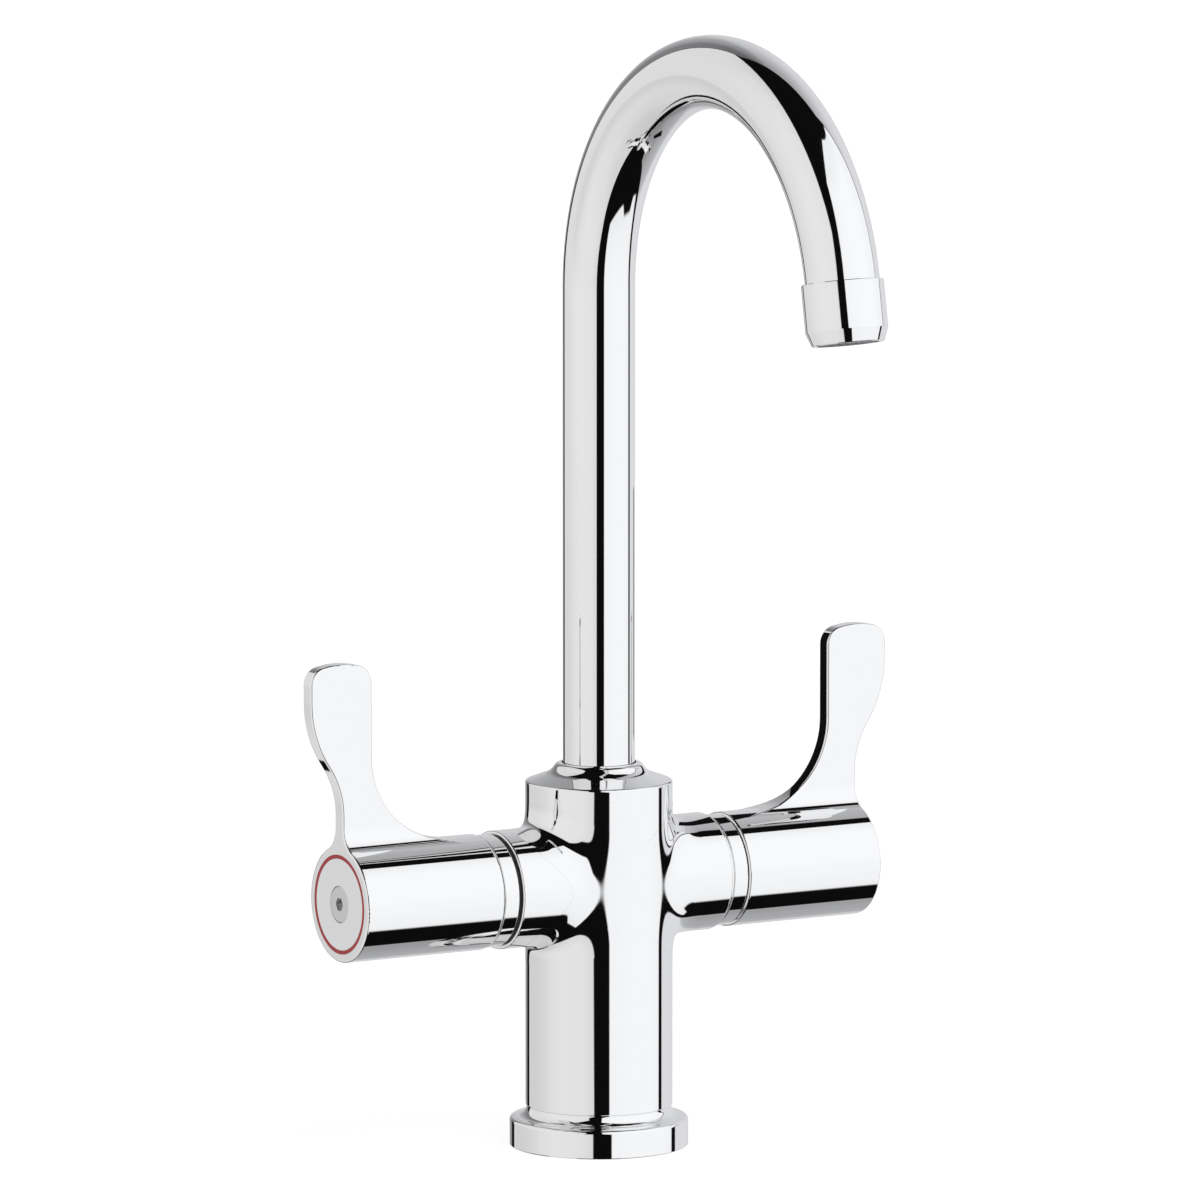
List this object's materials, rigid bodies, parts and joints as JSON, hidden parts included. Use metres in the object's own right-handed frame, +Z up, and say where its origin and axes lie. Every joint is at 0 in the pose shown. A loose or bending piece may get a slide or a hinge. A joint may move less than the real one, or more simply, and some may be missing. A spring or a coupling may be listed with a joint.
{
  "type": "gooseneck faucet",
  "caption": "Deck-mounted gooseneck faucet with a swivelling round spout and a wrist-blade handle on each side arm, mirror chrome.",
  "frame": {"origin": "centre of the foot's bore at the underside of the foot ring, on the deck", "axes": "+Z up along the column and riser; the spout reaches towards -Y, to the user; the handles lie along X, hot at -X"},
  "size_m": [0.2222, 0.1952, 0.3748],
  "materials": {
    "polished_chrome": "mirror-polished chrome plate",
    "brass": "machined",
    "black_rubber": "smooth",
    "white_ceramic": "lapped",
    "satin_metal": "satin",
    "steel": "bright stainless",
    "red_plastic": "glossy",
    "blue_plastic": "glossy",
    "white_plastic": "smooth moulded",
    "grey_plastic": "smooth moulded"
  },
  "bodies": {
    "valve": {"valve_body": "polished_chrome", "base_ring": "polished_chrome", "base_gasket": "black_rubber", "hot_band": "polished_chrome", "hot_cartridge": "brass", "hot_cartridge_seal": "black_rubber", "hot_seat_seal": "black_rubber", "hot_fixed_disc": "white_ceramic", "cold_band": "polished_chrome", "cold_cartridge": "brass", "cold_cartridge_seal": "black_rubber", "cold_seat_seal": "black_rubber", "cold_fixed_disc": "white_ceramic"},
    "hot_lever": {"hot_handle": "polished_chrome", "hot_index_ring": "red_plastic", "hot_index_disc": "satin_metal", "hot_handle_screw": "steel", "hot_spindle": "brass", "hot_spindle_seals": "black_rubber", "hot_spindle_clip": "steel", "hot_thrust_washer": "white_plastic", "hot_turning_disc": "white_ceramic"},
    "cold_lever": {"cold_handle": "polished_chrome", "cold_index_ring": "blue_plastic", "cold_index_disc": "satin_metal", "cold_handle_screw": "steel", "cold_spindle": "brass", "cold_spindle_seals": "black_rubber", "cold_spindle_clip": "steel", "cold_thrust_washer": "white_plastic", "cold_turning_disc": "white_ceramic"},
    "spout": {"spout_tube": "polished_chrome", "spout_shank": "brass", "spout_seals": "black_rubber", "spout_glide_ring": "white_plastic", "spout_snap_ring": "white_plastic", "outlet_collar": "polished_chrome", "aerator_washer": "black_rubber", "aerator_housing": "grey_plastic", "aerator_screen": "steel"}
  },
  "joints": [
    {"name": "spout_swivel", "type": "hinge", "parent": "valve", "child": "spout", "pos_m": [0, 0, 0.1287], "axis": [0, 0, 1], "continuous": true},
    {"name": "hot_handle_turn", "type": "hinge", "parent": "valve", "child": "hot_lever", "pos_m": [0, 0, 0.0888], "axis": [1, 0, 0], "range_deg": [0, 90]},
    {"name": "cold_handle_turn", "type": "hinge", "parent": "valve", "child": "cold_lever", "pos_m": [0, 0, 0.0888], "axis": [1, 0, 0], "range_deg": [0, 90]}
  ]
}
